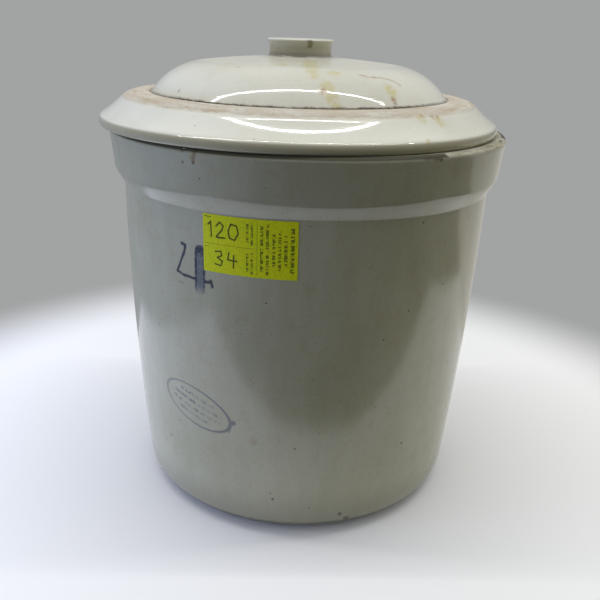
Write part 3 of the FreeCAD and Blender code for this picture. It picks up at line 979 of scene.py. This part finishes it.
def rounded(corners: Sequence[Corner], spacing: float) -> list[Point]:
    """Round the corners of a half profile and lay points along it.

    Args:
        corners: Each corner's distance from the axis, height and rounding.
        spacing: The longest step along a straight, all in millimetres.

    Returns:
        The points of the profile, in metres.
    """
    points = [Vector(corners[0][:2])]
    for before, here, after in zip(corners, corners[1:], corners[2:]):
        corner = Vector(here[:2])
        back = (Vector(before[:2]) - corner).normalized()
        on = (Vector(after[:2]) - corner).normalized()
        half = back.angle(on) / 2
        if here[2] <= 0 or half > math.radians(89.5):
            points.append(corner)
            continue
        reach = here[2] / math.tan(half)
        centre = corner + (back + on).normalized() * (here[2] / math.sin(half))
        first = corner + back * reach - centre
        sweep = first.angle_signed(corner + on * reach - centre)
        steps = max(3, round(abs(sweep) * here[2] / min(spacing, here[2] * 0.22)))
        for step in range(steps + 1):
            turned = Matrix.Rotation(-sweep * step / steps, 2) @ first
            points.append(centre + turned)
    points.append(Vector(corners[-1][:2]))

    laid = [points[0]]
    for point in points[1:]:
        start = laid[-1]
        way = point - start
        parts = max(1, math.ceil(way.length / spacing))
        laid.extend(start + way * part / parts for part in range(1, parts + 1))
    return [(point.x * MM, point.y * MM) for point in laid]


@dataclass
class Wheel:
    """A potter's wheel: it turns a half profile into a closed form."""

    steps: int = 384
    hollow_depth: float = 0.5 * MM
    hollow_fade: float = 8 * MM

    def throw(self, name: str, profile: Sequence[Point], axis: float) -> Piece:
        """Draw a half profile point by point and spin it once round.

        Args:
            name: The piece's name.
            profile: The points from the axis, round the form and back to it.
            axis: Where the axis stands along X.

        Returns:
            The closed piece, with its faces outwards.
        """
        select()
        bpy.ops.mesh.primitive_plane_add(size=MM)
        piece = bpy.context.object
        piece.name = name
        piece.data.name = name
        with editing():
            bpy.ops.mesh.merge(type="CENTER")
            bpy.ops.transform.translate(value=(profile[0][0] + axis, 0.0, profile[0][1]))
            for before, here in zip(profile, profile[1:]):
                step = (here[0] - before[0], 0.0, here[1] - before[1])
                bpy.ops.mesh.extrude_vertices_move(TRANSFORM_OT_translate={"value": step})
            bpy.ops.mesh.select_all(action="SELECT")
            bpy.ops.mesh.spin(steps=self.steps, angle=math.tau, center=(axis, 0.0, 0.0),
                              axis=(0.0, 0.0, 1.0))
            bpy.ops.mesh.select_all(action="SELECT")
            bpy.ops.mesh.remove_doubles(threshold=0.002 * MM)
            bpy.ops.mesh.normals_make_consistent(inside=False)
        return piece

    def waver(self, piece: Piece, scale: float, above: float, below: float) -> None:
        """Press shallow hollows into the surface, as a potter's hands leave.

        Args:
            piece: The piece to work on.
            scale: How broad a hollow is.
            above: The height from which it is pressed.
            below: The height up to which it is pressed.
        """
        fade = self.hollow_fade
        push(piece, lambda place: min((place.z - above) / fade, (below - place.z) / fade, 1.0),
             texture=lumps(f"{piece.name}_hollows", scale, 1), texture_coords="LOCAL",
             strength=self.hollow_depth, mid_level=1.0)


@dataclass
class Chip:
    """One piece of clay knocked off the top outer edge of the rim."""

    angle: float
    along: float
    down: float
    deep: float
    top: float = 296.0
    inset: float = 0.8

    def cutter(self, number: int, rim_radius: float) -> Piece:
        """Make the rough lump that the chip is cut with.

        Args:
            number: The chip's number, which also sets how it is roughened.
            rim_radius: The rim's outer radius, in millimetres.

        Returns:
            The lump, in its place.
        """
        turn = math.radians(self.angle)
        reach = (rim_radius - self.inset) * MM
        select()
        bpy.ops.mesh.primitive_ico_sphere_add(subdivisions=5, radius=1.0)
        lump = bpy.context.object
        lump.name = f"chip_lump_{number}"
        with editing():
            bpy.ops.transform.resize(value=(self.along * MM, self.deep * MM, self.down * MM))
        modify(lump, "DISPLACE", texture=lumps(f"chip_rough_{number}",
                                               (2.0 + 0.4 * number) * MM, 2),
               texture_coords="LOCAL", strength=0.75 * min(self.down, self.deep) * MM,
               mid_level=0.55)
        lump.rotation_euler = (0.0, 0.0, turn)
        lump.location = (reach * math.sin(turn), -reach * math.cos(turn), self.top * MM)
        return lump


@dataclass
class CrockBody:
    """The pot: a bowed wall under a standing rim band with a chipped edge."""

    height: float = 296.0
    foot_radius: float = 131.4
    foot_edge_rounding: float = 22.0
    foot_ring_inner: float = 101.0
    foot_hollow: float = 0.9
    wall_top_radius: float = 145.6
    wall_bow: float = 2.9
    wall_thickness: float = 11.0
    floor_thickness: float = 14.0
    rim_height: float = 41.4
    rim_slope_height: float = 11.0
    rim_lower_overhang: float = 6.6
    rim_upper_overhang: float = 9.6
    outer_heights: range = range(34, 250, 4)
    inner_heights: range = range(262, 36, -8)
    sag: float = 2.1
    sag_from: float = 40.0
    sag_rise: float = 215.0
    spacing: float = 4.2
    hollow_scale: float = 0.11
    sharp_degrees: float = 32.0
    chips: tuple[Chip, ...] = (
        Chip(38.0, 8.0, 1.0, 1.8),
        Chip(43.5, 12.0, 1.5, 2.6),
        Chip(50.0, 9.0, 1.4, 2.6),
        Chip(55.5, 10.0, 1.9, 3.4),
        Chip(61.5, 7.0, 1.6, 3.2),
        Chip(67.5, 9.0, 3.6, 4.2),
        Chip(-29.6, 3.0, 1.3, 1.6),
    )
    finish: CrockGlaze = field(default_factory=CrockGlaze)
    clay: BareClay = field(default_factory=BareClay)

    def wall(self, height: float) -> float:
        """Give the wall's outer radius at a height, in millimetres.

        Args:
            height: The height, from the foot to the rim band's lower edge.

        Returns:
            The radius.
        """
        share = height / (self.height - self.rim_height)
        bow = self.wall_bow * (1 - (2 * share - 1) ** 2)
        return self.foot_radius + (self.wall_top_radius - self.foot_radius) * share + bow

    def corners(self) -> list[Corner]:
        """List the half profile's corners, from the foot up and back inside.

        Returns:
            The corners, as rounded takes them.
        """
        crease = self.height - self.rim_height
        return [
            (0.0, self.foot_hollow, 0.0),
            (self.foot_ring_inner, self.foot_hollow, 2.0),
            (self.foot_ring_inner + 2.5, 0.0, 1.5),
            (self.foot_radius + 0.4, 0.0, self.foot_edge_rounding),
            *[(self.wall(h), h, 0.0) for h in self.outer_heights],
            (self.wall_top_radius, crease, 2.5),
            (self.wall_top_radius + self.rim_lower_overhang, crease + self.rim_slope_height,
             9.5),
            (self.wall_top_radius + self.rim_upper_overhang, self.height, 3.5),
            (self.wall_top_radius - self.wall_thickness, self.height, 3.0),
            *[(self.wall(h) - self.wall_thickness, h, 0.0) for h in self.inner_heights],
            (self.foot_radius - self.wall_thickness, self.floor_thickness, 14.0),
            (0.0, self.floor_thickness, 0.0),
        ]

    def leaned(self, place: Vector) -> float:
        """Say how far the pot leaned at a place as it was fired.

        Args:
            place: The place, in metres.

        Returns:
            The share, 1 on the upper left of the wall's outer skin.
        """
        radius = math.hypot(place.x, place.y) / MM
        height = place.z / MM
        if place.x >= 0 or height <= self.sag_from:
            return 0.0
        side = (place.x / MM / radius) ** 2
        rise = min((height - self.sag_from) / self.sag_rise, 1.0)
        outer = min(max((radius - self.wall(height) + 8) / 6, 0.0), 1.0)
        return side * rise * outer

    def knock(self, piece: Piece) -> None:
        """Knock the chips out of the rim, which shows the bare clay.

        Args:
            piece: The pot.
        """
        rim = self.wall_top_radius + self.rim_upper_overhang
        clay = self.clay.make()
        for number, chip in enumerate(self.chips):
            lump = chip.cutter(number, rim)
            lump.data.materials.append(clay)
            modify(piece, "BOOLEAN", operation="DIFFERENCE", solver="EXACT",
                   material_mode="TRANSFER", object=lump)
            bpy.data.objects.remove(lump)

    def build(self, wheel: Wheel) -> Piece:
        """Throw, chip and glaze the pot.

        Args:
            wheel: The wheel it is thrown on.

        Returns:
            The finished pot.
        """
        profile = rounded(self.corners(), self.spacing)
        piece = wheel.throw("thrown_crock", profile, 0.0)
        wheel.waver(piece, self.hollow_scale, 8 * MM, 294 * MM)
        push(piece, self.leaned, direction="X", strength=self.sag * MM, mid_level=0.0)
        piece.data.materials.append(self.finish.make())
        self.knock(piece)
        smooth(piece, self.sharp_degrees)
        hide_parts("crock_body")
        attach(piece, Body.CROCK.value)
        return piece


@dataclass
class Lid:
    """The lid: lip, hollow shoulder, bare band, dome and knob in one piece."""

    axis: float = -6.5
    seat: float = 296.0
    radius: float = 153.8
    lip_height: float = 6.8
    band_radius: float = 132.85
    band_top: float = 320.2
    hollow_centre: Point = (198.96, 377.16)
    hollow_radius: float = 87.0
    hollow_steep: float = 44.3
    hollow_flat: float = 33.4
    hollow_bends: int = 8
    dome_radius: float = 114.2
    dome_lean: float = 15.1
    crown_top: float = 347.6
    crown_radius: float = 650.0
    crown_rings: range = range(28, 77, 3)
    under_rings: range = range(75, 10, -12)
    dome_wall: float = 9.0
    groove_width: float = 1.6
    groove_depth: float = 1.4
    ring_radius: float = 127.1
    ring_wall: float = 9.0
    ring_depth: float = 14.0
    knob_radius: float = 27.2
    knob_neck: float = 24.2
    knob_dish: float = 21.8
    knob_top: float = 360.4
    knob_lip_height: float = 4.5
    spacing: float = 3.6
    hollow_scale: float = 0.09
    sharp_degrees: float = 38.0
    finish: LidGlaze = field(default_factory=LidGlaze)

    def crown(self, radius: float, top: float) -> float:
        """Give the crown's height at a distance from the axis."""
        return top - self.crown_radius + math.sqrt(self.crown_radius ** 2 - radius ** 2)

    def hollow(self) -> list[Corner]:
        """Lay the corners of the hollow shoulder, from the band down to the lip.

        Returns:
            The corners.
        """
        across, up = self.hollow_centre
        corners = []
        for step in range(self.hollow_bends + 1):
            slope = math.radians(self.hollow_steep + (self.hollow_flat - self.hollow_steep)
                                 * step / self.hollow_bends)
            corners.append((across - self.hollow_radius * math.sin(slope),
                            up - self.hollow_radius * math.cos(slope), 0.0))
        return corners

    def corners(self) -> list[Corner]:
        """List the half profile's corners, from the knob out and back under.

        Returns:
            The corners, as rounded takes them.
        """
        shoulder = self.dome_radius - self.dome_lean
        inner_shoulder = shoulder - self.dome_wall / 2
        inner_top = self.crown_top - self.dome_wall
        ring_inner = self.ring_radius - self.ring_wall
        ring_bottom = self.seat - self.ring_depth
        return [
            (0.0, self.knob_top - 1.6, 0.0),
            (self.knob_dish, self.knob_top - 0.15, 3.0),
            (self.knob_radius, self.knob_top, 1.5),
            (self.knob_neck, self.knob_top - self.knob_lip_height, 2.6),
            (self.knob_neck, self.crown(self.knob_neck, self.crown_top), 2.5),
            *[(r, self.crown(r, self.crown_top), 0.0) for r in self.crown_rings],
            (shoulder, self.crown(shoulder, self.crown_top), 52.7),
            (self.dome_radius, self.band_top, 0.4),
            (self.dome_radius, self.band_top - self.groove_depth, 0.3),
            (self.dome_radius + self.groove_width, self.band_top, 0.5),
            (self.band_radius, self.band_top, 18.0),
            *self.hollow(),
            (self.radius, self.seat + self.lip_height, 5.3),
            (self.radius, self.seat, 3.0),
            (self.ring_radius, self.seat, 1.0),
            (self.ring_radius, ring_bottom, 2.0),
            (ring_inner, ring_bottom, 2.0),
            (ring_inner, self.seat + 5.0, 3.0),
            (self.dome_radius - self.dome_wall, self.band_top - self.dome_wall, 3.0),
            (inner_shoulder, self.crown(inner_shoulder, inner_top), 38.0),
            *[(r, self.crown(r, inner_top), 0.0) for r in self.under_rings],
            (0.0, inner_top, 0.0),
        ]

    def build(self, wheel: Wheel) -> Piece:
        """Throw and glaze the lid.

        Args:
            wheel: The wheel it is thrown on.

        Returns:
            The finished lid.
        """
        profile = rounded(self.corners(), self.spacing)
        piece = wheel.throw("domed_lid", profile, self.axis * MM)
        wheel.waver(piece, self.hollow_scale, 286 * MM, 366 * MM)
        piece.data.materials.append(self.finish.make())
        smooth(piece, self.sharp_degrees)
        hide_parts("lid")
        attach(piece, Body.LID.value)
        return piece


@dataclass
class PaperLabel:
    """The paper label, pressed flat against the wall."""

    width: float = 64.8
    height: float = 39.4
    top: float = 253.7
    angle: float = -13.9
    thickness: float = 0.2
    stand_off: float = 0.08
    start_radius: float = 0.22
    sharp_degrees: float = 40.0
    finish: LabelPaper = field(default_factory=LabelPaper)

    def build(self, wall: Piece) -> Piece:
        """Cut the paper and press it on the wall.

        Args:
            wall: The crock that it is stuck on.

        Returns:
            The finished label.
        """
        select()
        bpy.ops.mesh.primitive_grid_add(x_subdivisions=64, y_subdivisions=40, size=1.0)
        piece = bpy.context.object
        piece.name = "yellow_label"
        piece.data.name = "yellow_label"
        turn = math.radians(self.angle)
        with editing():
            bpy.ops.transform.resize(value=(self.width * MM, self.height * MM, 1.0))
            bpy.ops.transform.rotate(value=-math.pi / 2, orient_axis="X",
                                     center_override=(0.0, 0.0, 0.0))
        piece.rotation_euler = (0.0, 0.0, turn)
        piece.location = (self.start_radius * math.sin(turn), -self.start_radius * math.cos(turn),
                          (self.top - self.height / 2) * MM)
        modify(piece, "SHRINKWRAP", target=wall, wrap_method="PROJECT", use_project_y=True,
               use_positive_direction=True, use_negative_direction=True,
               wrap_mode="OUTSIDE_SURFACE", offset=self.stand_off * MM)
        bpy.ops.object.transform_apply(location=True, rotation=True, scale=True)
        modify(piece, "SOLIDIFY", thickness=self.thickness * MM, offset=1.0)
        piece.data.materials.append(self.finish.make())
        smooth(piece, self.sharp_degrees)
        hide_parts("paper_label")
        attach(piece, Body.CROCK.value)
        return piece


@dataclass(frozen=True)
class Lamp:
    """One rectangular lamp that the eye doesn't see."""

    name: str
    place: Corner
    size: Point
    power: float
    aim: Corner
    colour: Corner
    turn: float = 0.0
    mirrored: bool = True

    def hang(self) -> None:
        """Hang the lamp, aimed and then turned about the upright."""
        data = bpy.data.lights.new(self.name, "AREA")
        data.shape = "RECTANGLE"
        data.size, data.size_y = self.size
        data.energy = self.power
        data.color = self.colour
        lamp = bpy.data.objects.new(self.name, data)
        bpy.context.scene.collection.objects.link(lamp)
        way = Vector(self.aim) - Vector(self.place)
        lamp.rotation_euler = way.to_track_quat("-Z", "Y").to_euler()
        lamp.rotation_euler.z += math.radians(self.turn)
        lamp.location = self.place
        lamp.visible_camera = False
        lamp.visible_glossy = self.mirrored


@dataclass
class Studio:
    """The pale floor, the soft lights and the camera."""

    backdrop: Colour = tone(162, 163, 163)
    floor_white: Colour = tone(236, 236, 236)
    floor_fade: Point = (0.34, 0.52)
    wall_left: Colour = tone(148, 150, 152)
    wall_right: Colour = tone(212, 210, 204)
    wall_turn: Point = (-0.2, 0.4)
    wall_behind: float = 0.216
    wall_soft: float = 0.004
    dark: Colour = tone(54, 54, 46)
    side: Colour = tone(138, 146, 154)
    side_turn: Point = (-0.25, -0.5)
    table_left: Point = (-0.45, -0.39)
    table_right: Point = (0.625, 0.605)
    table_front: Point = (-0.275, -0.251)
    table_slant: float = 0.213
    front: Colour = tone(121, 121, 112)
    zenith: Colour = tone(216, 218, 221)
    room_turn: Point = (-0.15, 0.45)
    camera_distance: float = 0.5791
    camera_height: float = 0.3681
    pitch: float = 21.04
    yaw: float = -0.04
    roll: float = 1.95
    focal_pixels: float = 708.3
    sensor: float = 36.0
    lamps: tuple[Lamp, ...] = (
        Lamp("overhead_tube", (-0.1, 0.0, 2.41), (4.0, 0.035), 34.0,
             (-0.1, 0.0, 0.0), (1.0, 0.995, 0.96), 1.7),
        Lamp("left_panel", (-0.8, -0.1, 0.14), (1.1, 0.26), 6.2,
             (0.0, 0.0, 0.12), (0.49, 0.59, 1.0), mirrored=False),
        Lamp("right_panel", (0.9, -0.02, 0.24), (0.9, 0.48), 1.5,
             (0.0, 0.0, 0.17), (1.0, 0.97, 0.86), mirrored=False),
    )

    def lay_floor(self) -> None:
        """Lay the floor: pale to the eye, but a table in a darker room to a glaze."""
        select()
        bpy.ops.mesh.primitive_plane_add(size=8.0, location=(0.0, 0.0, -0.0003))
        floor = bpy.context.object
        floor.name = "pale_floor"
        finish = Finish("pale_floor")
        across, deep, _ = finish.split(finish.place)
        radius = finish.vector("LENGTH", finish.join(across, deep))
        plain = finish.add("BsdfDiffuse", {"Color": self.floor_white}).outputs[0]
        glow = finish.add("Emission", {"Color": self.backdrop}).outputs[0]
        seen = finish.mix(finish.ease(radius, *self.floor_fade), plain, glow)

        slanted = finish.calc("SUBTRACT", deep, finish.product(across, self.table_slant))
        table = finish.product(finish.ease(across, *self.table_left),
                               finish.ease(across, *self.table_right),
                               finish.ease(slanted, *self.table_front))
        beyond = finish.blend(finish.ease(across, *self.side_turn), self.dark, self.side)
        behind = finish.ease(deep, self.wall_behind - self.wall_soft,
                             self.wall_behind + self.wall_soft)
        wall = finish.blend(finish.ease(across, *self.wall_turn), self.wall_left,
                            self.wall_right)
        room = finish.add("Emission", {"Color": finish.blend(behind, beyond, wall)}).outputs[0]
        bounced = finish.mix(finish.product(table, finish.flip(behind)), room, plain)
        finish.feed(finish.tree.nodes["Material Output"].inputs["Surface"],
                    finish.choose(seen, bounced))
        floor.data.materials.append(finish.material)

    def fill_world(self) -> None:
        """Give the room a pale wall behind, a dimmer front and a bright ceiling."""
        world = bpy.data.worlds.new("room")
        bpy.context.scene.world = world
        world.use_nodes = True
        world.node_tree.nodes.clear()
        graph = Graph(world.node_tree)
        _, deep, up = graph.split(graph.coordinates["Generated"])
        walls = graph.blend(graph.ease(deep, *self.room_turn), self.front, self.backdrop)
        room = graph.add("Background", {"Color": graph.blend(up, walls, self.zenith)})
        seen = graph.add("Background", {"Color": self.backdrop})
        graph.add("OutputWorld", {"Surface": graph.choose(seen.outputs[0], room.outputs[0])})

    def set_camera(self) -> None:
        """Stand the camera where the photograph was taken."""
        pitch, yaw, roll = (math.radians(a) for a in (self.pitch, self.yaw, self.roll))
        ahead = Vector((math.sin(yaw) * math.cos(pitch), math.cos(yaw) * math.cos(pitch),
                        -math.sin(pitch)))
        level = ahead.cross(Vector((0.0, 0.0, 1.0))).normalized()
        upright = level.cross(ahead)
        right = math.cos(roll) * level + math.sin(roll) * upright
        up = -math.sin(roll) * level + math.cos(roll) * upright
        stance = Matrix((right, up, -ahead)).transposed().to_4x4()
        stance.translation = (0.0, -self.camera_distance, self.camera_height)
        data = bpy.data.cameras.new("camera")
        data.sensor_width = self.sensor
        data.lens = self.focal_pixels / PHOTO_SIDE * self.sensor
        data.clip_start = 0.01
        camera = bpy.data.objects.new("camera", data)
        bpy.context.scene.collection.objects.link(camera)
        camera.matrix_world = stance
        bpy.context.scene.camera = camera

    def build(self) -> None:
        """Set up everything round the crock."""
        self.lay_floor()
        self.fill_world()
        for lamp in self.lamps:
            lamp.hang()
        self.set_camera()
        bpy.context.scene.view_settings.view_transform = "Standard"


def main() -> None:
    """Build the studio and the three pieces, and report each of them."""
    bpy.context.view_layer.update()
    Studio().build()
    wheel = Wheel()
    crock = CrockBody().build(wheel)
    lid = Lid().build(wheel)
    label = PaperLabel().build(crock)
    for piece in (crock, lid, label):
        piece.data.calc_loop_triangles()
        log.info("%s: %d triangles", piece.name, len(piece.data.loop_triangles))


if __name__ == "__main__":
    main()
